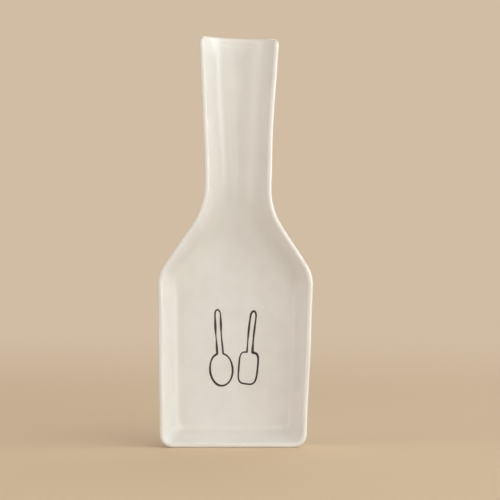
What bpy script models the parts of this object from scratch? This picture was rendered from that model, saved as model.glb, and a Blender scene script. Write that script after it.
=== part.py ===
"""White glazed ceramic spoon rest, standing on its end.

X runs across the tray, Y from the open front to the back, and Z up its length.
The origin is under the middle of the standing end.
"""

import math

import bmesh
import bpy

# Outline of the rim seen from the front, in metres: widths across both sides, before the
# corners are rounded, and the height that each stretch takes up.
FOOT_WIDTH = 0.0892
SHOULDER_WIDTH = 0.0944
NECK_WIDTH = 0.0412
END_WIDTH = 0.0491
DISH_LENGTH = 0.108
SHOULDER_LENGTH = 0.0385
NECK_LENGTH = 0.0355
FLARE_LENGTH = 0.068

# Rounding of the outline's corners.
FOOT_CORNER_RADIUS = 0.0074
SHOULDER_RADIUS = 0.016
NECK_ROOT_RADIUS = 0.043
FLARE_RADIUS = 0.55
END_CORNER_RADIUS = 0.0035
INNER_CORNER_RADIUS = 0.0045
END_INNER_RADIUS = 0.0009

# How far the open end stands to the right of the foot, as the hand-made piece does.
LEAN = 0.0040

# Depth from the foot ring to the rim, and how the wall's upper corner is rounded off.
DISH_DEPTH = 0.024
NECK_DEPTH = 0.019
WALL_END_RADIUS = 0.005

# Rim, floor and walls.
RIM_THICKNESS = 0.0032
FLOOR_THICKNESS = 0.004
WALL_TAPER = 0.0022
BASE_RADIUS = 0.003
INNER_DRAFT = math.radians(10.0)
DISH_FILLET = 0.005
NECK_FILLET = 0.012
END_BAND = 0.0025

# Low foot ring on the back.
RING_HEIGHT = 0.0012
RING_WIDTH = 0.0028
RING_SETBACK = 0.002
RING_CHAMFER = 0.0004

# Fired-on line drawing on the dish floor: a spoon and a spatula side by side.
LINE_THICKNESS = 0.0010
LINE_CLEARANCE = 0.0003
MARK_RISE = 0.0015
MARK_SPACING = 0.0185
MARK_TILT = math.radians(5.0)
SPOON_LENGTH = 0.047
SPOON_WIDTH = 0.0135
SPOON_ROUNDNESS = 2.0
SPATULA_LENGTH = 0.045
SPATULA_WIDTH = 0.0115
SPATULA_ROUNDNESS = 4.0
HEAD_LENGTH = 0.0195
HANDLE_WIDTH = 0.0034

# The fillets take up at most these shares of the room and the depth that they have.
FILLET_ROOM_SHARE = 0.85
FILLET_DEPTH_SHARE = 0.95
BASE_DEPTH_SHARE = 0.4
LEAST_WALL = 0.001

# Fineness of the rounded shapes.
RING_LEVELS = 4
BASE_STEPS = 3
RIM_STEPS = 6
FILLET_STEPS = 5
LINE_STEPS = 30
FOOT_CORNER_STEPS = 8
SHOULDER_STEPS = 6
NECK_ROOT_STEPS = 10
FLARE_STEPS = 6
END_CORNER_STEPS = 8

# Points on each straight side between its arcs. Along the flare they crowd up to the end.
FOOT_POINT_COUNT = 2
WALL_POINT_COUNT = 3
SHOULDER_POINT_COUNT = 1
NECK_POINT_COUNT = 0
FLARE_POINT_COUNT = 6
END_POINT_COUNT = 8
FLARE_CROWDING = 2.2

# Smaller turns than STRAIGHT count as none, and edges that turn more than SHARP stay crisp.
STRAIGHT = math.radians(0.0001)
SHARP = math.radians(40.0)

LENGTH = DISH_LENGTH + SHOULDER_LENGTH + NECK_LENGTH + FLARE_LENGTH
FLOOR_DEPTH = RING_HEIGHT + FLOOR_THICKNESS
RIM_RADIUS = RIM_THICKNESS / 2.0
BACK_Y = DISH_DEPTH / 2.0
QUARTER_TURN = math.pi / 2.0

# The right half of the outline is a chain of straight sides, from the middle of the foot
# to the middle of the open end.
SIDE_POINT_COUNT = {
    "foot": FOOT_POINT_COUNT,
    "side": WALL_POINT_COUNT,
    "shoulder": SHOULDER_POINT_COUNT,
    "neck": NECK_POINT_COUNT,
    "flare": FLARE_POINT_COUNT,
    "end": END_POINT_COUNT,
}
SIDES = list(SIDE_POINT_COUNT)

# Each corner of the chain: its radius on the rim's outline, the least radius further in,
# its number of steps, and whether the outline turns outwards there.
CORNERS = [
    (FOOT_CORNER_RADIUS, INNER_CORNER_RADIUS, FOOT_CORNER_STEPS, False),
    (SHOULDER_RADIUS, INNER_CORNER_RADIUS, SHOULDER_STEPS, False),
    (NECK_ROOT_RADIUS, NECK_ROOT_RADIUS, NECK_ROOT_STEPS, True),
    (FLARE_RADIUS, FLARE_RADIUS, FLARE_STEPS, True),
    (END_CORNER_RADIUS, END_INNER_RADIUS, END_CORNER_STEPS, False),
]


def clear_scene():
    for item in list(bpy.data.objects):
        bpy.data.objects.remove(item, do_unlink=True)


def make_material(name, color, roughness):
    material = bpy.data.materials.new(name)
    material.use_nodes = True
    shader = material.node_tree.nodes["Principled BSDF"]
    shader.inputs["Base Color"].default_value = (*color, 1.0)
    shader.inputs["Roughness"].default_value = roughness
    shader.inputs["Metallic"].default_value = 0.0
    return material


def smooth_step(value):
    value = min(max(value, 0.0), 1.0)
    return value * value * (3.0 - 2.0 * value)


def half_corners():
    shoulder_top = DISH_LENGTH + SHOULDER_LENGTH
    return [
        (0.0, 0.0),
        (FOOT_WIDTH / 2.0, 0.0),
        (SHOULDER_WIDTH / 2.0, DISH_LENGTH),
        (NECK_WIDTH / 2.0, shoulder_top),
        (NECK_WIDTH / 2.0, shoulder_top + NECK_LENGTH),
        (END_WIDTH / 2.0, LENGTH),
        (0.0, LENGTH),
    ]


def direction(start, end):
    size = math.dist(start, end)
    return ((end[0] - start[0]) / size, (end[1] - start[1]) / size)


def inward(start, end):
    along = direction(start, end)
    return (-along[1], along[0])


def cross_and_dot(first, second):
    return (first[0] * second[1] - first[1] * second[0],
            first[0] * second[0] + first[1] * second[1])


def inset_corner(corner, before, after, inset_before, inset_after):
    """Where two sides meet once each has moved along its inward direction by its inset."""
    cross, dot = cross_and_dot(before, after)
    if abs(cross) < STRAIGHT:
        along = (inset_before + inset_after) / (1.0 + dot)
        return (corner[0] + before[0] * along, corner[1] + before[1] * along)
    x = (inset_before * after[1] - inset_after * before[1]) / cross
    z = (inset_after * before[0] - inset_before * after[0]) / cross
    return (corner[0] + x, corner[1] + z)


def inset_corners(insets):
    """The half chain's corners with every side moved inward."""
    corners = half_corners()
    ways = [inward(start, end) for start, end in zip(corners, corners[1:])]
    moved = [(0.0, insets[0])]
    for index in range(1, len(corners) - 1):
        moved.append(inset_corner(corners[index], ways[index - 1], ways[index],
                                  insets[index - 1], insets[index]))
    moved.append((0.0, LENGTH - insets[-1]))
    return moved


def rounded_corner(before, corner, after, radius, steps):
    """Points of an arc that touches both sides of a corner and fits on half of each."""
    along_in = direction(before, corner)
    cross, dot = cross_and_dot(along_in, direction(corner, after))
    turn = math.atan2(cross, dot)
    if abs(turn) < STRAIGHT:
        return [corner] * (steps + 1)
    room = 0.5 * min(math.dist(before, corner), math.dist(corner, after))
    reach = min(radius * math.tan(abs(turn) / 2.0), room)
    signed_radius = reach / math.tan(turn / 2.0)
    start = (corner[0] - along_in[0] * reach, corner[1] - along_in[1] * reach)
    center = (start[0] - along_in[1] * signed_radius, start[1] + along_in[0] * signed_radius)
    arm = (start[0] - center[0], start[1] - center[1])
    points = []
    for step in range(steps + 1):
        angle = turn * step / steps
        points.append((center[0] + arm[0] * math.cos(angle) - arm[1] * math.sin(angle),
                       center[1] + arm[0] * math.sin(angle) + arm[1] * math.cos(angle)))
    return points


def side_points(start, end, name):
    """Points between the arcs at the two ends of a side, crowding up to the open end."""
    count = SIDE_POINT_COUNT[name]
    crowding = FLARE_CROWDING if name == "flare" else 1.0
    points = []
    for index in range(1, count + 1):
        share = 1.0 - (1.0 - index / (count + 1)) ** crowding
        points.append((start[0] + (end[0] - start[0]) * share,
                       start[1] + (end[1] - start[1]) * share))
    return points


def outline(insets):
    """Closed outline, with as many points whatever the insets, each facing its neighbour's."""
    corners = inset_corners(insets)
    half = [corners[0]]
    for index, (radius, least, steps, turns_out) in enumerate(CORNERS):
        inset = min(insets[index], insets[index + 1])
        wanted = radius + inset if turns_out else max(radius - inset, least)
        arc = rounded_corner(*corners[index:index + 3], wanted, steps)
        half += side_points(half[-1], arc[0], SIDES[index])
        half += arc
    half += side_points(half[-1], corners[-1], SIDES[-1])
    half.append(corners[-1])
    return half + [(-x, z) for x, z in reversed(half[1:-1])]


# The lean leaves the outline where it is at its widest.
WIDEST_HEIGHT = max(outline([0.0] * len(SIDES)))[1]


def place(across, depth, height):
    """A point of the tray, from its place across, in front of the foot ring, and up."""
    shift = LEAN * (height - WIDEST_HEIGHT) / LENGTH
    return (across + shift, BACK_Y - depth, height)


def open_end_flags():
    """For each point of an outline, whether it lies on the open end or its corners."""
    half_count = sum(SIDE_POINT_COUNT.values()) + sum(corner[2] + 1 for corner in CORNERS) + 2
    end_count = CORNERS[-1][2] + SIDE_POINT_COUNT["end"] + 2
    half = [index >= half_count - end_count for index in range(half_count)]
    return half + list(reversed(half[1:-1]))


# The body's section is a chain of levels, from the hollow inside the foot ring, over the
# ring, round the base, up the outer wall, over the rim and down the fillet to the floor.

def nominal_rim(name):
    return (DISH_DEPTH + NECK_DEPTH) / 2.0 if name in ("neck", "flare") else DISH_DEPTH


def fillet_radius(name):
    """The dish has a small fillet, and the neck one that makes its channel round."""
    if name == "shoulder":
        return (fillet_radius("side") + fillet_radius("neck")) / 2.0
    if name in ("neck", "flare"):
        room = NECK_WIDTH / 2.0 - RIM_THICKNESS
        depth = nominal_rim(name) - RIM_RADIUS - FLOOR_DEPTH
        return min(NECK_FILLET, FILLET_ROOM_SHARE * room, FILLET_DEPTH_SHARE * depth)
    return DISH_FILLET


def wall_foot(name):
    """Depth at which the inner wall runs into the fillet."""
    return FLOOR_DEPTH + fillet_radius(name) * (1.0 - math.sin(INNER_DRAFT))


def fillet_start(name):
    """Distance inside the rim's outline at which the inner wall runs into the fillet."""
    wall = nominal_rim(name) - RIM_RADIUS - wall_foot(name)
    return RIM_THICKNESS + max(wall, LEAST_WALL) * math.tan(INNER_DRAFT)


def floor_edge(name):
    return fillet_start(name) + fillet_radius(name) * math.cos(INNER_DRAFT)


def level_insets(name):
    """How far inside the rim's outline each level lies, along one side."""
    taper = 0.0 if name in ("foot", "end") else WALL_TAPER
    ring_outer = taper + BASE_RADIUS + RING_SETBACK
    ring_inner = ring_outer + RING_WIDTH
    insets = [ring_inner + RING_CHAMFER, ring_inner, ring_outer, ring_outer - RING_CHAMFER]
    for step in range(BASE_STEPS + 1):
        insets.append(taper + BASE_RADIUS * (1.0 - math.sin(QUARTER_TURN * step / BASE_STEPS)))
    for step in range(RIM_STEPS + 1):
        insets.append(RIM_RADIUS * (1.0 - math.cos(math.pi * step / RIM_STEPS)))
    for step in range(FILLET_STEPS + 1):
        if name == "end":
            insets.append(RIM_THICKNESS + END_BAND * (step + 1) / (FILLET_STEPS + 1))
        else:
            angle = (QUARTER_TURN - INNER_DRAFT) * (1.0 - step / FILLET_STEPS)
            insets.append(floor_edge(name) - fillet_radius(name) * math.sin(angle))
    return insets


def rim_depth(height):
    """The rim eases down along the neck, and its corner at the open end is rounded off."""
    rise = smooth_step((height - DISH_LENGTH) / (LENGTH - DISH_LENGTH))
    full = DISH_DEPTH + (NECK_DEPTH - DISH_DEPTH) * rise
    short = WALL_END_RADIUS - min(max(LENGTH - height, 0.0), WALL_END_RADIUS)
    return full - WALL_END_RADIUS + math.sqrt(WALL_END_RADIUS ** 2 - short ** 2)


def channel_depth(across, height):
    """Depth of the neck's upper surface: rim, wall, fillet and floor, by distance inward."""
    start, end = half_corners()[4:6]
    way = inward(start, end)
    distance = (abs(across) - start[0]) * way[0] + (height - start[1]) * way[1]
    rim = rim_depth(height)
    radius = fillet_radius("flare")
    edge = floor_edge("flare")
    wall_top = rim - RIM_RADIUS
    if distance <= RIM_RADIUS:
        return rim
    if distance < RIM_THICKNESS:
        return wall_top + math.sqrt(RIM_RADIUS ** 2 - (distance - RIM_RADIUS) ** 2)
    if distance < fillet_start("flare"):
        share = (distance - RIM_THICKNESS) / (fillet_start("flare") - RIM_THICKNESS)
        return wall_top + (min(wall_foot("flare"), wall_top) - wall_top) * share
    if distance < edge:
        depth = FLOOR_DEPTH + radius - math.sqrt(radius ** 2 - (edge - distance) ** 2)
        return min(depth, wall_top)
    return FLOOR_DEPTH


def column_depths(column, at_open_end):
    """Depth of each level in front of the foot ring, where one column of points crosses it."""
    outermost = column[RING_LEVELS + BASE_STEPS + 1]
    rim = rim_depth(outermost[1])
    top = channel_depth(*outermost) if at_open_end else rim
    base = min(BASE_RADIUS, BASE_DEPTH_SHARE * (top - RING_HEIGHT))
    blend = smooth_step((outermost[1] - DISH_LENGTH) / SHOULDER_LENGTH)
    radius = fillet_radius("side") + (fillet_radius("neck") - fillet_radius("side")) * blend
    depths = [RING_HEIGHT, 0.0, 0.0, RING_HEIGHT]
    for step in range(BASE_STEPS + 1):
        depths.append(RING_HEIGHT + base * (1.0 - math.cos(QUARTER_TURN * step / BASE_STEPS)))
    for step in range(RIM_STEPS + 1):
        drop = RIM_RADIUS * (1.0 - math.sin(math.pi * step / RIM_STEPS))
        if not at_open_end:
            depths.append(rim - drop)
        elif 2 * step < RIM_STEPS:
            depths.append(channel_depth(*column[len(depths)]) - drop)
        else:
            depths.append(channel_depth(*column[len(depths)]))
    for step in range(FILLET_STEPS + 1):
        angle = (QUARTER_TURN - INNER_DRAFT) * (1.0 - step / FILLET_STEPS)
        if at_open_end:
            depths.append(channel_depth(*column[len(depths)]))
        else:
            depths.append(FLOOR_DEPTH + radius * (1.0 - math.cos(angle)))
    return depths


def make_tray(material):
    """The one fired body: every level is a closed loop, bridged to the next."""
    insets_by_side = [level_insets(name) for name in SIDES]
    outlines = [outline(insets) for insets in zip(*insets_by_side)]
    columns = [column_depths(column, at_end)
               for column, at_end in zip(zip(*outlines), open_end_flags())]
    shape = bmesh.new()
    loops = []
    for level, points in enumerate(outlines):
        loops.append([shape.verts.new(place(across, depths[level], height))
                      for (across, height), depths in zip(points, columns)])
    for lower, upper in zip(loops, loops[1:]):
        for index in range(len(lower)):
            after = (index + 1) % len(lower)
            shape.faces.new((lower[index], lower[after], upper[after], upper[index]))
    shape.faces.new(list(reversed(loops[0])))
    shape.faces.new(loops[-1])
    mesh = bpy.data.meshes.new("tray_body")
    shape.to_mesh(mesh)
    shape.free()
    mesh.shade_smooth()
    mesh.set_sharp_from_angle(angle=SHARP)
    mesh.materials.append(material)
    tray = bpy.data.objects.new("tray_body", mesh)
    bpy.context.collection.objects.link(tray)


def utensil_half_width(along, length, width, roundness):
    """Half width of a spoon or spatula, by distance from the tip of its head.

    The head is a superellipse. The handle grows out of its middle and ends in a round.
    """
    middle = HEAD_LENGTH / 2.0
    off = min(abs(along - middle) / middle, 1.0)
    head = width / 2.0 * (1.0 - off ** roundness) ** (1.0 / roundness)
    grown = smooth_step((along - middle) / middle)
    short = 1.0 - min((length - along) / HANDLE_WIDTH, 1.0)
    handle = HANDLE_WIDTH / 2.0 * grown * math.sqrt(max(1.0 - short ** 2, 0.0))
    return math.hypot(head, handle)


def make_utensil_line(name, size, across, tilt, material):
    """One closed line on the dish floor, as a tube just clear of the glaze."""
    length, width, roundness = size
    middle_height = (floor_edge("foot") + DISH_LENGTH) / 2.0 + MARK_RISE
    depth = FLOOR_DEPTH + LINE_CLEARANCE + LINE_THICKNESS / 2.0
    right = []
    for step in range(LINE_STEPS + 1):
        along = length * (1.0 - math.cos(math.pi * step / LINE_STEPS)) / 2.0
        right.append((utensil_half_width(along, length, width, roundness), along))
    closed = right + [(-x, along) for x, along in reversed(right[1:-1])]
    curve = bpy.data.curves.new(name, "CURVE")
    curve.dimensions = "3D"
    curve.bevel_depth = LINE_THICKNESS / 2.0
    curve.bevel_resolution = 1
    spline = curve.splines.new("POLY")
    spline.points.add(len(closed) - 1)
    spline.use_cyclic_u = True
    for point, (x, along) in zip(spline.points, closed):
        up = along - length / 2.0
        turned = (x * math.cos(tilt) + up * math.sin(tilt),
                  up * math.cos(tilt) - x * math.sin(tilt))
        point.co = (*place(across + turned[0], depth, middle_height + turned[1]), 1.0)
    curve.materials.append(material)
    bpy.context.collection.objects.link(bpy.data.objects.new(name, curve))


def build():
    clear_scene()
    glaze = make_material("warm_white_glaze", (0.80, 0.76, 0.69), 0.18)
    black = make_material("fired_black_line", (0.012, 0.010, 0.009), 0.35)
    make_tray(glaze)
    make_utensil_line("spoon_line", (SPOON_LENGTH, SPOON_WIDTH, SPOON_ROUNDNESS),
                      -MARK_SPACING / 2.0, -MARK_TILT, black)
    make_utensil_line("spatula_line", (SPATULA_LENGTH, SPATULA_WIDTH, SPATULA_ROUNDNESS),
                      MARK_SPACING / 2.0, MARK_TILT, black)


build()
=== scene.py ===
import math

import bmesh
import bpy
import numpy as np
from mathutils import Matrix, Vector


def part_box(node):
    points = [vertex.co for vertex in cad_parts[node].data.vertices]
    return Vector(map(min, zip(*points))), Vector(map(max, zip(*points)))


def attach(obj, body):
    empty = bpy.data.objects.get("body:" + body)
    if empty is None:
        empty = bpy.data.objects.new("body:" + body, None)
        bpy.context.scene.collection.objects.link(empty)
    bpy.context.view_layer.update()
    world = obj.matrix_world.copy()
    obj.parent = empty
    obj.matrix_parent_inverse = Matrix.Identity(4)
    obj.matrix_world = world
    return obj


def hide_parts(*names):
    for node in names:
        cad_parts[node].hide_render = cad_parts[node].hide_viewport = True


# A hand-made ceramic spoon rest, stood on its end. X runs across it, Y from its open front to
# its back, and Z up its length. Sizes are in millimetres until a mesh is made.

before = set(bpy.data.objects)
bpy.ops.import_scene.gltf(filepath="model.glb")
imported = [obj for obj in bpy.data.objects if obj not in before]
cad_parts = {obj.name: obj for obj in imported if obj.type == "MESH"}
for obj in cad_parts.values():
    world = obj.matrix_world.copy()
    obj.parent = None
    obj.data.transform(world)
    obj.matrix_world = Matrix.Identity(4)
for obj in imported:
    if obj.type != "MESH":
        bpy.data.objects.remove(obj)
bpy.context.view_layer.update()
trayLow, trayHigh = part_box("tray_body")
millimetre = 0.001
quarterTurn = math.pi / 2.0
seamGap = 1e-6                # points closer than this, in metres, are one
print("frame loaded")


def smoothStep(value):
    # Eases from 0 to 1 with flat ends: three squares less two cubes.
    share = np.clip(value, 0.0, 1.0)
    return share * share * (3.0 - 2.0 * share)


def mixed(start, end, share):
    # What lies at this share of the way from start to end.
    return start + (end - start) * share


def unit(vectors):
    # Each vector divided by its own length.
    return vectors / np.linalg.norm(vectors, axis=-1, keepdims=True)


def ripple(x, z, period, height, seed):
    # Sum of nine plane waves in scattered directions, each with its own phase and a period
    # around the given one. The height is about the root mean square of their sum.
    waves = 9
    shortest, longest = 0.65, 1.5
    draw = np.random.default_rng(seed)
    angle = draw.uniform(0.0, math.pi, waves)
    length = period * draw.uniform(shortest, longest, waves)
    phase = draw.uniform(0.0, 2.0 * math.pi, waves)
    along = x[..., None] * np.cos(angle) + z[..., None] * np.sin(angle)
    total = np.cos(2.0 * math.pi * along / length + phase).sum(axis=-1)
    return height * total / math.sqrt(waves / 2.0)


def gridFaces(rows, columns):
    # Quads between neighbouring rows of points, where each row closes on itself.
    index = np.arange(rows * columns).reshape(rows, columns)
    after = np.roll(index, -1, axis=1)
    corners = (index[:-1], after[:-1], after[1:], index[1:])
    return np.stack(corners, axis=-1).reshape(-1, 4)


def meshObject(name, points, faces, values=None):
    # Points in millimetres and faces become an object at the origin, with a value for each point
    # under each key.
    mesh = bpy.data.meshes.new(name)
    mesh.vertices.add(len(points))
    mesh.vertices.foreach_set("co", (points * millimetre).astype(np.float32).ravel())
    mesh.loops.add(faces.size)
    mesh.loops.foreach_set("vertex_index", faces.astype(np.int32).ravel())
    mesh.polygons.add(len(faces))
    starts = np.arange(len(faces), dtype=np.int32) * faces.shape[1]
    mesh.polygons.foreach_set("loop_start", starts)
    mesh.update(calc_edges=True)
    for key, value in (values or {}).items():
        layer = mesh.attributes.new(key, "FLOAT", "POINT")
        layer.data.foreach_set("value", value.astype(np.float32).ravel())
    mesh.validate()
    thing = bpy.data.objects.new(name, mesh)
    bpy.context.scene.collection.objects.link(thing)
    return thing


def closeSeams(thing):
    # Points in one place become one, edges without length go, and faces are shaded smooth.
    shortestEdge = seamGap / 10.0
    shape = bmesh.new()
    shape.from_mesh(thing.data)
    bmesh.ops.remove_doubles(shape, verts=shape.verts[:], dist=seamGap)
    bmesh.ops.dissolve_degenerate(shape, edges=shape.edges[:], dist=shortestEdge)
    shape.to_mesh(thing.data)
    shape.free()
    thing.data.shade_smooth()


def linearColor(hexText):
    # sRGB to linear: the low end is a straight line, the rest a power of 2.4.
    parts = [int(hexText[index:index + 2], 16) / 255.0 for index in (1, 3, 5)]
    linear = [part / 12.92 if part <= 0.04045 else ((part + 0.055) / 1.055) ** 2.4 for part in parts]
    return (*linear, 1.0)


def addNode(owner, kind, settings=None, links=None):
    # One node in a material or the world, with its properties or socket values set and its
    # sockets linked, by name or number.
    tree = owner.node_tree
    node = tree.nodes.new(kind)
    for key, value in (settings or {}).items():
        if isinstance(key, str) and hasattr(node, key):
            setattr(node, key, value)
        else:
            node.inputs[key].default_value = value
    for key, source in (links or {}).items():
        tree.links.new(source, node.inputs[key])
    return node


# The tray: one slab of clay pressed into a mould, with its rim fettled by hand. The outline's
# widths are across both sides, and its lengths run up from the standing end.
tray = {
    "footWidth": 89.4,
    "shoulderWidth": 95.2,
    "neckWidth": 41.0,
    "endWidth": 49.1,
    "dishLength": 105.7,
    "shoulderLength": 40.8,
    "neckLength": 35.5,
    "footCornerRadius": 8.0,
    "shoulderRadius": 24.0,
    "neckRootRadius": 43.0,
    "flareRadius": 550.0,
    "endCornerRadius": 3.5,
    "innerCornerRadius": 4.5,
    "endInnerRadius": 0.9,
    "neckDepth": 19.0,        # the rim's height over the foot ring's plane at the open end
    "wallEndRadius": 5.0,
    "rimThickness": 3.2,
    "floorThickness": 4.0,
    "leastWall": 1.0,         # the least wall between rim and fillet that the draft is taken over
    "wallTaper": 2.2,
    "baseRadius": 3.0,
    "baseShare": 0.4,         # the most of a wall's height that the base's edge may take
    "innerDraft": math.radians(22.0),
    "dishFillet": 3.5,
    "neckFillet": 12.0,
    "dishFilletReach": 3.2,   # how far a fillet runs in over the floor, where the other is its height
    "neckFilletReach": 15.5,
    "endBand": 2.5,
    "ringHeight": 1.2,
    "ringWidth": 3.6,
    "ringFlank": 0.28,        # share of the ring's width that each of its flanks takes
    "ringSetback": 1.6,
    "spineStart": 34.0,       # how far from the standing end and the open end the middle line stops
    "spineEnd": 16.0,
    "lean": 3.75,             # how far the open end stands to the right of the foot
    "leanPivot": 57.0,        # the height at which the lean moves nothing
    "endRise": 1.2,           # how much longer the open end was cut than the mould
    "endSlope": 0.04,         # how much longer still its left side was, per millimetre across
    "endFrom": 205.0,
    "neckBow": 0.45,          # how far the neck bows to the right, most at one height
    "bowHeight": 172.0,
    "bowSpan": 28.0,
    "wavesStart": 12.0,       # above this height the rim wanders fully, so that the foot stands flat
    "waves": {                # the unevenness that the hand left: period, height and seed of each set
        "floorBroad": (46.0, 0.13, 11),
        "floorClose": (17.0, 0.055, 12),
        "rimAcross": (70.0, 0.12, 21),
        "rimAlong": (80.0, 0.06, 22),
        "rimForward": (60.0, 0.096, 23),
        "back": (40.0, 0.10, 31),
    },
    "smoothing": 10,          # rounds of softening along the outline, as glaze softens an edge
    "sectionSmoothing": 12,   # rounds of softening across it, from the rim to the floor
}
tray["length"] = (trayHigh.z - trayLow.z) / millimetre
tray["dishDepth"] = (trayHigh.y - trayLow.y) / millimetre
tray["backY"] = trayHigh.y / millimetre
tray["rimRadius"] = tray["rimThickness"] / 2.0
tray["floorDepth"] = tray["ringHeight"] + tray["floorThickness"]

# Points along each straight side of the half outline, and steps round each of its corners.
sideNames = ("foot", "side", "shoulder", "neck", "flare", "end")
sideCounts = {"foot": 34, "side": 64, "shoulder": 22, "neck": 10, "flare": 44, "end": 22}
cornerSteps = (22, 22, 26, 18, 22)
flareCrowding = 1.5           # power by which the flare's points crowd towards the open end

# Rows of points on each stretch of the section, and how they run into each other.
rowCounts = {
    "back": 16,
    "ring": 16,
    "base": 10,
    "wall": 8,
    "rim": 16,
    "inner": 7,
    "fillet": 14,
    "floor": 26,
}
rimStart = rowCounts["ring"] + rowCounts["base"] + rowCounts["wall"]
frontStart = rowCounts["back"] + rimStart + rowCounts["rim"]
softRimRows = rowCounts["rim"] // 4
backFadeRows = 5.0            # rows over which the back's unevenness fades out at the ring
floorBlend = 0.25             # share of the way in over which the floor leaves the fillet's depth
leastPace, mostPace = 0.3, 6.0


def halfCorners():
    # Right half of the outline with sharp corners, from the middle of the foot to that of the end.
    shoulderTop = tray["dishLength"] + tray["shoulderLength"]
    return np.array([
        (0.0, 0.0),
        (tray["footWidth"] / 2.0, 0.0),
        (tray["shoulderWidth"] / 2.0, tray["dishLength"]),
        (tray["neckWidth"] / 2.0, shoulderTop),
        (tray["neckWidth"] / 2.0, shoulderTop + tray["neckLength"]),
        (tray["endWidth"] / 2.0, tray["length"]),
        (0.0, tray["length"]),
    ])


def inwardWays(corners):
    # Each side's own direction, turned a quarter to the left, points into the tray.
    along = unit(np.diff(corners, axis=0))
    return np.stack((-along[:, 1], along[:, 0]), axis=1)


def insetCorners(insets):
    # Each side moves inward by its own inset, and neighbours meet where their lines cross.
    corners = halfCorners()
    ways = inwardWays(corners)
    before, after = ways[:-1], ways[1:]
    cross = before[:, 0] * after[:, 1] - before[:, 1] * after[:, 0]
    first, second = insets[:, :-1], insets[:, 1:]
    x = (first * after[:, 1] - second * before[:, 1]) / cross
    z = (second * before[:, 0] - first * after[:, 0]) / cross
    moved = np.repeat(corners[None], len(insets), axis=0)
    moved[:, 1:-1, 0] += x
    moved[:, 1:-1, 1] += z
    moved[:, 0, 1] = insets[:, 0]
    moved[:, -1, 1] = tray["length"] - insets[:, -1]
    return moved


def roundedCorner(before, corner, after, radius, steps):
    # An arc that touches both sides of the corner, and takes at most half of either.
    alongIn = unit(corner - before)
    alongOut = unit(after - corner)
    cross = alongIn[:, 0] * alongOut[:, 1] - alongIn[:, 1] * alongOut[:, 0]
    turn = np.arctan2(cross, (alongIn * alongOut).sum(axis=1))
    room = np.minimum(np.linalg.norm(corner - before, axis=1), np.linalg.norm(after - corner, axis=1))
    reach = np.minimum(radius * np.tan(np.abs(turn) / 2.0), room / 2.0)
    signedRadius = reach / np.tan(turn / 2.0)
    start = corner - alongIn * reach[:, None]
    center = start + np.stack((-alongIn[:, 1], alongIn[:, 0]), axis=1) * signedRadius[:, None]
    arm = start - center
    angle = turn[:, None] * np.linspace(0.0, 1.0, steps + 1)
    x = center[:, :1] + arm[:, :1] * np.cos(angle) - arm[:, 1:] * np.sin(angle)
    z = center[:, 1:] + arm[:, :1] * np.sin(angle) + arm[:, 1:] * np.cos(angle)
    return np.stack((x, z), axis=-1)


def sidePoints(start, end, name):
    # Even steps along a straight side, crowding towards the open end on the flare.
    count = sideCounts[name]
    share = np.arange(1, count + 1) / (count + 1)
    if name == "flare":
        share = 1.0 - (1.0 - share) ** flareCrowding
    return start[:, None] + (end - start)[:, None] * share[None, :, None]


def outlines(insets):
    # One closed loop for each row of insets, all with as many points, counted from the foot's
    # middle. Outer corners tighten as they move in, and the neck's two hollow ones open up.
    cornerRows = (
        (tray["footCornerRadius"], tray["innerCornerRadius"], False),
        (tray["shoulderRadius"], tray["innerCornerRadius"], False),
        (tray["neckRootRadius"], tray["neckRootRadius"], True),
        (tray["flareRadius"], tray["flareRadius"], True),
        (tray["endCornerRadius"], tray["endInnerRadius"], False),
    )
    corners = insetCorners(insets)
    parts = [corners[:, :1]]
    for index, (radius, least, turnsOut) in enumerate(cornerRows):
        inset = np.minimum(insets[:, index], insets[:, index + 1])
        wanted = radius + inset if turnsOut else np.maximum(radius - inset, least)
        arc = roundedCorner(*(corners[:, index + step] for step in range(3)), wanted, cornerSteps[index])
        parts.append(sidePoints(parts[-1][:, -1], arc[:, 0], sideNames[index]))
        parts.append(arc)
    parts.append(sidePoints(parts[-1][:, -1], corners[:, -1], sideNames[-1]))
    parts.append(corners[:, -1:])
    half = np.concatenate(parts, axis=1)
    mirrored = half[:, -2:0:-1] * np.array((-1.0, 1.0))
    return np.concatenate((half, mirrored), axis=1)


def nominalRim(name):
    # One rim height for a whole side: the dish's, or on the neck the mean of its two ends.
    if name in ("neck", "flare"):
        return (tray["dishDepth"] + tray["neckDepth"]) / 2.0
    return tray["dishDepth"]


def byPlace(name, dishValue, neckValue):
    # One value for the dish, one for the neck, and their mean between them on the shoulder.
    if name == "shoulder":
        return (dishValue + neckValue) / 2.0
    return neckValue if name in ("neck", "flare") else dishValue


def filletRadius(name):
    return byPlace(name, tray["dishFillet"], tray["neckFillet"])


def filletReach(name):
    return byPlace(name, tray["dishFilletReach"], tray["neckFilletReach"])


def wallFoot(radius):
    # Depth at which the inner wall, at its draft, runs into the fillet.
    return tray["floorDepth"] + radius * (1.0 - math.sin(tray["innerDraft"]))


def filletStart(name):
    # How far inside the outline the fillet begins: the rim, and what the wall's draft takes.
    wall = nominalRim(name) - tray["rimRadius"] - wallFoot(filletRadius(name))
    return tray["rimThickness"] + max(wall, tray["leastWall"]) * math.tan(tray["innerDraft"])


def floorEdge(name):
    # How far inside the outline the fillet ends on the floor.
    return filletStart(name) + filletReach(name) * math.cos(tray["innerDraft"])


def ringProfile():
    # Across the foot ring from its inner root to its outer one: how far it rises, 0 to 1.
    across = np.linspace(0.0, 1.0, rowCounts["ring"])
    flank = tray["ringFlank"]
    return across, smoothStep(across / flank) * smoothStep((1.0 - across) / flank)


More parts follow.
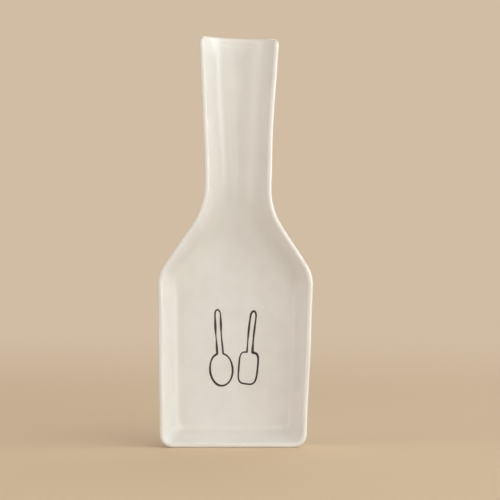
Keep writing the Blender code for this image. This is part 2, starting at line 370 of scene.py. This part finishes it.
def sectionInsets(name):
    # How far inside the rim's outline each row lies along one side, from the ring to the floor.
    # The base's edge, the rim and the fillet are arcs, and the walls between them are straight.
    taper = 0.0 if name in ("foot", "end") else tray["wallTaper"]
    ringOuter = taper + tray["baseRadius"] + tray["ringSetback"]
    across, _ = ringProfile()
    ring = ringOuter + tray["ringWidth"] * (1.0 - across)
    turn = np.linspace(0.0, quarterTurn, rowCounts["base"])
    base = taper + tray["baseRadius"] * (1.0 - np.sin(turn))
    climb = np.linspace(0.0, 1.0, rowCounts["wall"] + 2)[1:-1]
    wall = taper * (1.0 - climb)
    over = np.linspace(0.0, math.pi, rowCounts["rim"])
    rim = tray["rimRadius"] * (1.0 - np.cos(over))
    drop = np.linspace(0.0, 1.0, rowCounts["inner"] + 2)[1:-1]
    swing = (quarterTurn - tray["innerDraft"]) * np.linspace(1.0, 0.0, rowCounts["fillet"])
    if name == "end":
        band = np.linspace(0.0, 1.0, rowCounts["inner"] + rowCounts["fillet"] + 1)[1:]
        inside = tray["rimThickness"] + tray["endBand"] * band
    else:
        inner = mixed(tray["rimThickness"], filletStart(name), drop)
        fillet = floorEdge(name) - filletReach(name) * np.sin(swing)
        inside = np.concatenate((inner, fillet))
    return np.concatenate((ring, base, wall, rim, inside))


def rimDepth(z):
    # The rim eases down along the neck, and the wall's corner at the open end is rounded off.
    rise = smoothStep((z - tray["dishLength"]) / (tray["length"] - tray["dishLength"]))
    full = mixed(tray["dishDepth"], tray["neckDepth"], rise)
    radius = tray["wallEndRadius"]
    short = radius - np.clip(tray["length"] - z, 0.0, radius)
    return full - radius + np.sqrt(radius ** 2 - short ** 2)


def channelDepth(x, z):
    # The neck's upper surface by its distance inside the flare: rim, wall, fillet, then floor.
    start, end = halfCorners()[4:6]
    way = inwardWays(np.stack((start, end)))[0]
    distance = (np.abs(x) - start[0]) * way[0] + (z - start[1]) * way[1]
    rim = rimDepth(z)
    radius = filletRadius("flare")
    edge = floorEdge("flare")
    rimRadius = tray["rimRadius"]
    wallTop = rim - rimRadius
    crest = wallTop + np.sqrt(np.clip(rimRadius ** 2 - (distance - rimRadius) ** 2, 0.0, None))
    share = (distance - tray["rimThickness"]) / (filletStart("flare") - tray["rimThickness"])
    wall = mixed(wallTop, np.minimum(wallFoot(radius), wallTop), share)
    across = np.clip((edge - distance) / filletReach("flare"), 0.0, 1.0)
    bowl = tray["floorDepth"] + radius * (1.0 - np.sqrt(1.0 - across ** 2))
    zones = (
        distance <= rimRadius,
        distance < tray["rimThickness"],
        distance < filletStart("flare"),
        distance < edge,
    )
    return np.select(zones, (rim, crest, wall, np.minimum(bowl, wallTop)), tray["floorDepth"])


def openEndColumns():
    # Which columns lie on the open end or its corners, where the channel runs out. An arc has one
    # point more than its steps, the half outline has one at each of its ends, and the flare's last
    # point counts with the open end.
    halfCount = sum(sideCounts.values()) + sum(cornerSteps) + len(cornerSteps) + 2
    endCount = cornerSteps[-1] + sideCounts["end"] + 3
    half = np.arange(halfCount) >= halfCount - endCount
    return np.concatenate((half, half[-2:0:-1]))


def sectionDepths(plan, atEnd):
    # How far in front of the ring's plane each row lies: ring, base's arc, wall, rim's arc, inner
    # wall and fillet's arc along the walls, and the channel's own surface across the open end.
    edge = plan[rimStart]
    rim = rimDepth(edge[:, 1])
    top = np.where(atEnd, channelDepth(edge[:, 0], edge[:, 1]), rim)
    baseRadius = np.minimum(tray["baseRadius"], tray["baseShare"] * (top - tray["ringHeight"]))
    _, ringRise = ringProfile()
    ring = np.repeat(tray["ringHeight"] * (1.0 - ringRise)[:, None], len(top), axis=1)
    turn = np.linspace(0.0, quarterTurn, rowCounts["base"])[:, None]
    base = tray["ringHeight"] + baseRadius * (1.0 - np.cos(turn))
    climb = np.linspace(0.0, 1.0, rowCounts["wall"] + 2)[1:-1, None]
    wall = mixed(base[-1], top - tray["rimRadius"], climb)
    over = np.linspace(0.0, math.pi, rowCounts["rim"])[:, None]
    fall = tray["rimRadius"] * (1.0 - np.sin(over))
    blend = smoothStep((edge[:, 1] - tray["dishLength"]) / tray["shoulderLength"])
    radius = mixed(tray["dishFillet"], tray["neckFillet"], blend)
    drop = np.linspace(0.0, 1.0, rowCounts["inner"] + 2)[1:-1, None]
    wallTop = rim - tray["rimRadius"]
    inner = mixed(wallTop, np.minimum(wallFoot(radius), wallTop), drop)
    swing = (quarterTurn - tray["innerDraft"]) * np.linspace(1.0, 0.0, rowCounts["fillet"])[:, None]
    fillet = tray["floorDepth"] + radius * (1.0 - np.cos(swing))
    walls = np.concatenate((ring, base, wall, rim - fall, inner, fillet))
    channel = channelDepth(plan[..., 0], plan[..., 1])
    innerStart = rimStart + rowCounts["rim"]
    outerHalf = np.where(over < quarterTurn, fall, 0.0)
    endRim = channel[rimStart:innerStart] - outerHalf
    ends = np.concatenate((ring, base, wall, endRim, channel[innerStart:]))
    return np.where(atEnd[None], ends, walls)


def towardsSpine(before, loop, rows):
    # Rows from a loop to the tray's middle line, which stops short of both ends, and the share of
    # the way that each has gone. The first row is about as far off as the loop before, at a pace
    # where 1 is even, and their spacing evens out from there: as a power of the share where the
    # way is short, and by its square where it is long.
    target = loop.copy()
    target[:, 0] = 0.0
    target[:, 1] = np.clip(loop[:, 1], tray["spineStart"], tray["length"] - tray["spineEnd"])
    firstStep = np.linalg.norm(loop - before, axis=1)
    pace = np.clip(firstStep * rows / np.linalg.norm(target - loop, axis=1), leastPace, mostPace)
    even = np.linspace(0.0, 1.0, rows + 1)[1:, None]
    short = 1.0 - (1.0 - even) ** np.maximum(pace, 1.0)
    share = np.where(pace > 1.0, short, pace * even + (1.0 - pace) * even ** 2)
    return mixed(loop[None], target[None], share[..., None]), share


def softened(values, rounds):
    # Each point moves halfway to the middle of its two neighbours along the outline.
    for _ in range(rounds):
        values = 0.5 * values + 0.25 * (np.roll(values, 1, axis=1) + np.roll(values, -1, axis=1))
    return values


def softenedAcross(points, rounds):
    # Each point but those at the ends moves halfway to its neighbours' mean across the section,
    # where the nearer one counts for more, so that the rows keep their spacing.
    leastGap = 1e-6
    for _ in range(rounds):
        gaps = np.linalg.norm(np.diff(points, axis=0), axis=-1, keepdims=True) + leastGap
        mean = (points[:-2] * gaps[1:] + points[2:] * gaps[:-1]) / (gaps[1:] + gaps[:-1])
        points = np.concatenate((points[:1], 0.5 * (points[1:-1] + mean), points[-1:]))
    return points


def uneven(x, z, name, share=1.0):
    # One set of the hand's waves, at a share of its full height.
    period, height, seed = tray["waves"][name]
    return ripple(x, z, period, height * share, seed)


def floorSurface(x, z):
    # Height of the hand-pressed unevenness at any place on the floor: a broad set and a close one.
    return uneven(x, z, "floorBroad") + uneven(x, z, "floorClose")


def standingPlace(x, z, depth):
    # Adds the lean, the bow, the longer end and the rim's wandering to the true form, then turns
    # depth into place behind the open front.
    sway = smoothStep(z / tray["wavesStart"])
    nearEnd = smoothStep((z - tray["endFrom"]) / (tray["length"] - tray["endFrom"]))
    rise = (tray["endRise"] - tray["endSlope"] * x) * nearEnd
    bow = tray["neckBow"] * np.exp(-((z - tray["bowHeight"]) / tray["bowSpan"]) ** 2)
    shift = tray["lean"] * (z - tray["leanPivot"]) / tray["length"]
    newX = x + shift + bow + uneven(x, z, "rimAcross", sway)
    newZ = z + rise + uneven(x, z, "rimAlong", sway)
    front = smoothStep((depth - tray["floorDepth"]) / tray["neckFillet"])
    newDepth = depth + front * uneven(x, z, "rimForward", sway)
    newDepth = np.minimum(newDepth, tray["dishDepth"])
    return np.stack((newX, tray["backY"] - newDepth, np.maximum(newZ, 0.0)), axis=-1)


def traySection():
    # Every row of the moulded form, as x, z and depth: from the back's middle line round the wall
    # and over the rim to the floor's middle line.
    plan = outlines(np.stack([sectionInsets(name) for name in sideNames], axis=1))
    atEnd = openEndColumns()
    depth = softened(sectionDepths(plan, atEnd), tray["smoothing"])
    plan = softened(plan, tray["smoothing"])
    floorPlan, floorShare = towardsSpine(plan[-2], plan[-1], rowCounts["floor"])
    channel = channelDepth(floorPlan[..., 0], floorPlan[..., 1])
    floorDepth = np.where(atEnd[None], channel, tray["floorDepth"])
    floorDepth = mixed(depth[-1][None], floorDepth, smoothStep(floorShare / floorBlend))
    backPlan, _ = towardsSpine(plan[1], plan[0], rowCounts["back"])
    backDepth = np.full(backPlan.shape[:2], tray["ringHeight"])
    plan = np.concatenate((backPlan[::-1], plan, floorPlan))
    depth = np.concatenate((backDepth[::-1], depth, floorDepth))

    # From the rim's inner side on, the section is softened into one running curve.
    section = np.concatenate((plan, depth[..., None]), axis=-1)
    softStart = frontStart - softRimRows
    section[softStart:] = softenedAcross(section[softStart:], tray["sectionSmoothing"])
    return section


# The glaze: opaque warm white stoneware glaze, dipped and fired. Its sizes are in millimetres.
glaze = {
    "color": "#E8E4DC",
    "mottle": "#E3DFD6",
    "edge": "#EAE2D3",
    "pool": "#E7E4DA",
    "clay": "#C9B79C",
    "roughness": 0.27,
    "clayRoughness": 0.8,
    "ior": 1.5,
    "mottleSize": 14.0,
    "mottleDetail": 3.0,
    "mottleLimits": (0.35, 0.65),
    "peelSize": 2.8,          # the faint orange peel of its surface
    "peelDetail": 2.0,
    "peelHeight": 0.2,
    "peelStrength": 0.12,
    "thinShare": 0.6,         # how strongly the edge's colour comes through on the rim
    "thinRows": 4.5,
    "poolPlace": 0.6,         # share of the way down the fillet where it pooled most
    "poolRows": 7.0,
    "bareFrom": 0.55,         # share of the ring's height above which it was wiped off
    "bareOver": 0.3,
}


def glazeLayers(rowCount, columnCount):
    # How the glaze lies on each row: thin over the rim and pooled in the fillet, each by a bell
    # curve over the rows, and wiped off the top of the ring.
    rows = np.arange(rowCount, dtype=float)
    rimMiddle = frontStart - rowCounts["rim"] / 2.0
    thin = glaze["thinShare"] * np.exp(-((rows - rimMiddle) / glaze["thinRows"]) ** 2)
    poolMiddle = frontStart + rowCounts["inner"] + rowCounts["fillet"] * glaze["poolPlace"]
    pooled = np.exp(-((rows - poolMiddle) / glaze["poolRows"]) ** 2)
    bare = np.zeros(rowCount)
    ringRows = slice(rowCounts["back"], rowCounts["back"] + rowCounts["ring"])
    bare[ringRows] = smoothStep((ringProfile()[1] - glaze["bareFrom"]) / glaze["bareOver"])
    layers = {"glazeThin": thin, "glazePooled": pooled, "bareClay": bare}
    return {key: np.repeat(value[:, None], columnCount, axis=1) for key, value in layers.items()}


def makeTray():
    # The moulded form with the hand's work on it, as one closed grid of rows and columns.
    section = traySection()
    rowCount, columnCount = section.shape[:2]
    x, z, depth = np.moveaxis(section, -1, 0)

    # The unevenness fades out up the walls, and stays off the ring's ground face.
    wallRows = rowCounts["inner"] + rowCounts["fillet"]
    front = np.zeros((rowCount, 1))
    front[frontStart:, 0] = smoothStep(np.arange(rowCount - frontStart) / wallRows)
    backRows = rowCounts["back"]
    back = np.zeros((rowCount, 1))
    back[:backRows, 0] = smoothStep((backRows - np.arange(backRows)) / backFadeRows)
    depth = depth + front * floorSurface(x, z) - back * np.abs(uneven(x, z, "back"))

    points = standingPlace(x, z, depth).reshape(-1, 3)
    layers = glazeLayers(rowCount, columnCount)
    thing = meshObject("hand_formed_tray", points, gridFaces(rowCount, columnCount), layers)
    closeSeams(thing)
    return thing


def makeGlaze():
    # To the eye it is glassy over a soft, faintly mottled colour. It breaks cream over the rim,
    # is cooler where it pooled, and shows matt buff clay where it was wiped off the foot ring.
    material = bpy.data.materials.new("warm_white_stoneware_glaze")
    material.use_nodes = True
    tree = material.node_tree
    shader = tree.nodes["Principled BSDF"]
    shader.inputs["IOR"].default_value = glaze["ior"]
    place = addNode(material, "ShaderNodeTexCoord").outputs["Object"]
    cloud = addNode(
        material, "ShaderNodeTexNoise",
        {"Scale": 1.0 / (glaze["mottleSize"] * millimetre), "Detail": glaze["mottleDetail"]},
        {"Vector": place},
    )
    low, high = glaze["mottleLimits"]
    cloudShare = addNode(
        material, "ShaderNodeMapRange",
        {"From Min": low, "From Max": high},
        {"Value": cloud.outputs["Fac"]},
    )
    color = addNode(
        material, "ShaderNodeMix",
        {"data_type": "RGBA", 6: linearColor(glaze["color"]), 7: linearColor(glaze["mottle"])},
        {0: cloudShare.outputs[0]},
    ).outputs[2]
    shares = {}
    for tone, layer in (("pool", "glazePooled"), ("edge", "glazeThin"), ("clay", "bareClay")):
        shares[tone] = addNode(material, "ShaderNodeAttribute", {"attribute_name": layer}).outputs["Fac"]
        color = addNode(
            material, "ShaderNodeMix",
            {"data_type": "RGBA", 7: linearColor(glaze[tone])},
            {0: shares[tone], 6: color},
        ).outputs[2]
    rough = addNode(
        material, "ShaderNodeMapRange",
        {"To Min": glaze["roughness"], "To Max": glaze["clayRoughness"]},
        {"Value": shares["clay"]},
    )
    peel = addNode(
        material, "ShaderNodeTexNoise",
        {"Scale": 1.0 / (glaze["peelSize"] * millimetre), "Detail": glaze["peelDetail"]},
        {"Vector": place},
    )
    bump = addNode(
        material, "ShaderNodeBump",
        {"Strength": glaze["peelStrength"], "Distance": glaze["peelHeight"] * millimetre},
        {"Height": peel.outputs["Fac"]},
    )
    tree.links.new(color, shader.inputs["Base Color"])
    tree.links.new(rough.outputs[0], shader.inputs["Roughness"])
    tree.links.new(bump.outputs[0], shader.inputs["Normal"])
    return material


body = makeTray()
body.data.materials.append(makeGlaze())
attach(body, "root")
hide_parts("tray_body")
print("tray made:", len(body.data.polygons), "faces")

# The drawing: two kitchen tools, drawn on the glaze with a ceramic pen and fired in.
drawing = {
    "markRise": 1.5,          # how far above the middle of the dish's floor it stands
    "spacing": 18.5,
    "tilt": math.radians(5.0),
    "headLength": 19.5,
    "handleWidth": 3.4,
    "penWidth": 1.15,
    "penThickness": 0.12,
    "penSides": 12,
    "wobble": 0.12,
    "wobblePeriod": 22.0,
    "press": 0.14,            # share of its width that the line gains or loses as the pen is pressed
    "pressPeriod": 13.0,
    "steps": 260,
    "pointSpacing": 0.35,
    "firstSeed": 41,
    "seedStep": 10,
}
tools = {
    "spoon": {"length": 47.0, "headWidth": 13.5, "roundness": 2.0, "side": -1.0},
    "spatula": {"length": 45.0, "headWidth": 11.5, "roundness": 4.0, "side": 1.0},
}


def toolHalfWidth(along, tool):
    # The head is a superellipse, and the handle grows out of its middle and ends in a round.
    middle = drawing["headLength"] / 2.0
    off = np.minimum(np.abs(along - middle) / middle, 1.0)
    head = tool["headWidth"] / 2.0 * (1.0 - off ** tool["roundness"]) ** (1.0 / tool["roundness"])
    grown = smoothStep((along - middle) / middle)
    short = 1.0 - np.minimum((tool["length"] - along) / drawing["handleWidth"], 1.0)
    handle = drawing["handleWidth"] / 2.0 * grown * np.sqrt(np.clip(1.0 - short ** 2, 0.0, None))
    return np.hypot(head, handle)


def toolOutline(tool):
    # Right side from the tip to the handle's end, then its mirror image back.
    turn = np.linspace(0.0, math.pi, drawing["steps"] + 1)
    along = tool["length"] * (1.0 - np.cos(turn)) / 2.0
    right = np.stack((toolHalfWidth(along, tool), along - tool["length"] / 2.0), axis=1)
    left = right[-2:0:-1] * np.array((-1.0, 1.0))
    return np.concatenate((right, left))


def evenlySpaced(path):
    # The same closed line with its points an equal way apart, by the length run so far.
    closed = np.concatenate((path, path[:1]))
    run = np.concatenate(([0.0], np.cumsum(np.linalg.norm(np.diff(closed, axis=0), axis=1))))
    count = int(run[-1] / drawing["pointSpacing"])
    at = np.linspace(0.0, run[-1], count, endpoint=False)
    return np.stack([np.interp(at, run, closed[:, axis]) for axis in range(2)], axis=1)


def placedOutline(tool):
    # The tool's outline, tilted outwards and moved to its side of the mark on the dish's floor.
    tilt = drawing["tilt"] * tool["side"]
    cosine, sine = math.cos(tilt), math.sin(tilt)
    turned = evenlySpaced(toolOutline(tool)) @ np.array(((cosine, -sine), (sine, cosine)))
    markHeight = (floorEdge("foot") + tray["dishLength"]) / 2.0 + drawing["markRise"]
    return turned + np.array((tool["side"] * drawing["spacing"] / 2.0, markHeight))


def penStroke(name, path, seed):
    # A flat lens of enamel carried along the line, as wide as the pen pressed, on the glaze.
    wobbles = [
        ripple(path[:, 0], path[:, 1], drawing["wobblePeriod"], drawing["wobble"], seed + step)
        for step in range(2)
    ]
    path = path + np.stack(wobbles, axis=1)
    ahead = np.roll(path, -1, axis=0) - np.roll(path, 1, axis=0)
    side = unit(np.stack((ahead[:, 1], -ahead[:, 0]), axis=1))
    pressed = ripple(path[:, 0], path[:, 1], drawing["pressPeriod"], drawing["press"], seed + 2)
    turn = np.linspace(0.0, 2.0 * math.pi, drawing["penSides"], endpoint=False)
    across = np.cos(turn)[None] * (drawing["penWidth"] / 2.0 * (1.0 + pressed))[:, None]
    x = path[:, :1] + side[:, :1] * across
    z = path[:, 1:] + side[:, 1:] * across
    lift = np.sin(turn)[None] * drawing["penThickness"]
    depth = tray["floorDepth"] + floorSurface(x, z) + lift
    points = standingPlace(x, z, depth)
    rows = np.concatenate((points, points[:1]))
    stroke = meshObject(name, rows.reshape(-1, 3), gridFaces(len(rows), len(turn)))
    closeSeams(stroke)
    return stroke


# The enamel of the pen, with its grain in millimetres.
enamel = {
    "dark": "#1F1A16",
    "light": "#3A332C",
    "grainSize": 0.9,
    "grainDetail": 3.0,
    "leastRoughness": 0.28,
    "mostRoughness": 0.42,
}


def makeEnamel():
    # Fired ceramic pen: near-black brown, fused level with the glaze and a little less glossy.
    material = bpy.data.materials.new("fired_black_ceramic_pen")
    material.use_nodes = True
    tree = material.node_tree
    shader = tree.nodes["Principled BSDF"]
    place = addNode(material, "ShaderNodeTexCoord").outputs["Object"]
    grain = addNode(
        material, "ShaderNodeTexNoise",
        {"Scale": 1.0 / (enamel["grainSize"] * millimetre), "Detail": enamel["grainDetail"]},
        {"Vector": place},
    ).outputs["Fac"]
    color = addNode(
        material, "ShaderNodeMix",
        {"data_type": "RGBA", 6: linearColor(enamel["dark"]), 7: linearColor(enamel["light"])},
        {0: grain},
    )
    rough = addNode(
        material, "ShaderNodeMapRange",
        {"To Min": enamel["leastRoughness"], "To Max": enamel["mostRoughness"]},
        {"Value": grain},
    )
    tree.links.new(color.outputs[2], shader.inputs["Base Color"])
    tree.links.new(rough.outputs[0], shader.inputs["Roughness"])
    return material


penEnamel = makeEnamel()
for index, (toolName, tool) in enumerate(tools.items()):
    seed = drawing["firstSeed"] + drawing["seedStep"] * index
    stroke = penStroke("drawn_" + toolName, placedOutline(tool), seed)
    stroke.data.materials.append(penEnamel)
    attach(stroke, "root")
    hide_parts(toolName + "_line")
print("drawing made")

# The stage: a pale matt floor that fades into the backdrop's colour far behind the tray. Its
# sizes are in metres, but for the drop.
stage = {
    "floorColor": "#E3C8A3",
    "bounceColor": "#DDD2C4",  # what the floor gives back to the tray, less warm than it looks
    "backdropColor": "#D1BDA4",
    "floorRoughness": 0.9,
    "floorRadius": 6.0,
    "floorDrop": 0.02,         # millimetres between the tray's foot and the floor
    "rings": 40,
    "spokes": 96,
    "fadeStart": 0.42,
    "fadeEnd": 2.45,
    "fadeScale": 1.5,          # about the camera's distance, so that the fade is even in the picture
    "roomColor": "#FFFFFF",
    "horizonLevel": 0.34,      # the room's light from the sides and from straight above
    "zenithLevel": 0.35,
}


def makePaper():
    # Matt paper: a flat colour without shine, which the camera and reflections see as warmer than
    # the light that it gives back. Far off it takes on the backdrop's colour.
    material = bpy.data.materials.new("matt_paper_floor")
    material.use_nodes = True
    tree = material.node_tree
    shader = tree.nodes["Principled BSDF"]
    shader.inputs["Roughness"].default_value = stage["floorRoughness"]
    path = addNode(material, "ShaderNodeLightPath")
    seen = addNode(
        material, "ShaderNodeMath", {"operation": "MAXIMUM"},
        {0: path.outputs["Is Camera Ray"], 1: path.outputs["Is Glossy Ray"]},
    )
    color = addNode(
        material, "ShaderNodeMix",
        {"data_type": "RGBA", 6: linearColor(stage["bounceColor"]), 7: linearColor(stage["floorColor"])},
        {0: seen.outputs[0]},
    )

    # The fade runs by distance over the sum of distance and scale.
    place = addNode(material, "ShaderNodeTexCoord").outputs["Object"]
    away = addNode(material, "ShaderNodeVectorMath", {"operation": "LENGTH"}, {0: place}).outputs["Value"]
    beyond = addNode(material, "ShaderNodeMath", {"operation": "ADD", 1: stage["fadeScale"]}, {0: away})
    nearness = addNode(
        material, "ShaderNodeMath", {"operation": "DIVIDE"},
        {0: away, 1: beyond.outputs[0]},
    )
    limits = [stage[key] / (stage[key] + stage["fadeScale"]) for key in ("fadeStart", "fadeEnd")]
    fade = addNode(
        material, "ShaderNodeMapRange",
        {"interpolation_type": "SMOOTHSTEP", "From Min": limits[0], "From Max": limits[1]},
        {"Value": nearness.outputs[0]},
    )
    share = addNode(
        material, "ShaderNodeMath", {"operation": "MULTIPLY"},
        {0: fade.outputs[0], 1: seen.outputs[0]},
    )
    glow = addNode(material, "ShaderNodeEmission", {"Color": linearColor(stage["backdropColor"])})
    blend = addNode(
        material, "ShaderNodeMixShader", None,
        {0: share.outputs[0], 1: shader.outputs[0], 2: glow.outputs[0]},
    )
    tree.links.new(color.outputs[2], shader.inputs["Base Color"])
    tree.links.new(blend.outputs[0], tree.nodes["Material Output"].inputs["Surface"])
    return material


def makeFloor():
    # Rings of points about the origin, each farther out by the square of its share.
    rings, spokes = stage["rings"], stage["spokes"]
    radius = (np.linspace(0.0, 1.0, rings) ** 2) * stage["floorRadius"] / millimetre
    turn = np.linspace(0.0, 2.0 * math.pi, spokes, endpoint=False)
    x = radius[:, None] * np.cos(turn)
    y = radius[:, None] * np.sin(turn)
    points = np.stack((x, y, np.full_like(x, -stage["floorDrop"])), axis=-1)
    floor = meshObject("floor", points.reshape(-1, 3), gridFaces(rings, spokes)[:, ::-1])
    closeSeams(floor)
    floor.data.materials.append(makePaper())


def makeWorld():
    # White light that eases from its level at the horizon to the one overhead by the height
    # looked at. The camera, reflections and see-through things see the backdrop's colour instead.
    world = bpy.data.worlds.new("studio")
    world.use_nodes = True
    bpy.context.scene.world = world
    tree = world.node_tree
    light = tree.nodes["Background"]
    light.inputs["Color"].default_value = linearColor(stage["roomColor"])
    way = addNode(world, "ShaderNodeTexCoord").outputs["Generated"]
    height = addNode(world, "ShaderNodeSeparateXYZ", None, {0: way}).outputs[2]
    level = addNode(
        world, "ShaderNodeMapRange",
        {"To Min": stage["horizonLevel"], "To Max": stage["zenithLevel"]},
        {"Value": height},
    )
    tree.links.new(level.outputs[0], light.inputs["Strength"])
    backdrop = addNode(world, "ShaderNodeBackground", {"Color": linearColor(stage["backdropColor"])})
    path = addNode(world, "ShaderNodeLightPath")
    cameraOrGlossy = addNode(
        world, "ShaderNodeMath", {"operation": "MAXIMUM"},
        {0: path.outputs["Is Camera Ray"], 1: path.outputs["Is Glossy Ray"]},
    )
    seen = addNode(
        world, "ShaderNodeMath", {"operation": "MAXIMUM"},
        {0: cameraOrGlossy.outputs[0], 1: path.outputs["Is Transmission Ray"]},
    )
    blend = addNode(
        world, "ShaderNodeMixShader", None,
        {0: seen.outputs[0], 1: light.outputs[0], 2: backdrop.outputs[0]},
    )
    tree.links.new(blend.outputs[0], tree.nodes["World Output"].inputs["Surface"])


# The lamps: most of the light comes from windows in front and at the right, and reflectors fill
# in from the left and behind. Place and size are in metres, and power is in watts.
lamps = {
    "window_high_right": {
        "place": (1.60, -2.60, 2.00), "size": (2.6, 1.9), "power": 35.0, "color": "#FFFFFF",
    },
    "window_front": {
        "place": (1.00, -3.35, 1.00), "size": (1.6, 1.4), "power": 12.0, "color": "#FFFFFF",
    },
    "window_right": {
        "place": (3.30, -0.70, 0.75), "size": (3.0, 1.8), "power": 79.0, "color": "#F2FAFF",
    },
    "reflector_left": {
        "place": (-2.70, -1.60, 0.90), "size": (3.2, 2.0), "power": 31.0, "color": "#FFF3F7",
    },
    "reflector_back": {
        "place": (0.80, 3.00, 1.20), "size": (3.0, 2.0), "power": 19.0, "color": "#FFFFFF",
    },
}


def makeLamp(name, lamp):
    # A wide lamp that faces the middle of the tray and stays out of the picture.
    data = bpy.data.lights.new(name, "AREA")
    data.shape = "RECTANGLE"
    data.size, data.size_y = lamp["size"]
    data.energy = lamp["power"]
    data.color = linearColor(lamp["color"])[:3]
    thing = bpy.data.objects.new(name, data)
    bpy.context.scene.collection.objects.link(thing)
    thing.location = lamp["place"]
    thing.visible_camera = False
    way = thing.location - (trayLow + trayHigh) / 2.0
    thing.rotation_euler = way.to_track_quat("Z", "Y").to_euler()


makeFloor()
makeWorld()
for lampName, lamp in lamps.items():
    makeLamp(lampName, lamp)
print("stage and lights made")

# The camera stands level in front of the tray, a little to the right of its middle.
view = {
    "place": (0.0095, -1.512, 0.1207),
    "fieldWidth": 0.3049,      # what the frame takes in across, at the rim
    "distance": 1.5,
}
cameraData = bpy.data.cameras.new("camera")
cameraData.lens = cameraData.sensor_width * view["distance"] / view["fieldWidth"]
camera = bpy.data.objects.new("camera", cameraData)
bpy.context.scene.collection.objects.link(camera)
camera.location = view["place"]
camera.rotation_euler = (quarterTurn, 0.0, 0.0)
bpy.context.scene.camera = camera
bpy.context.scene.view_settings.view_transform = "Standard"
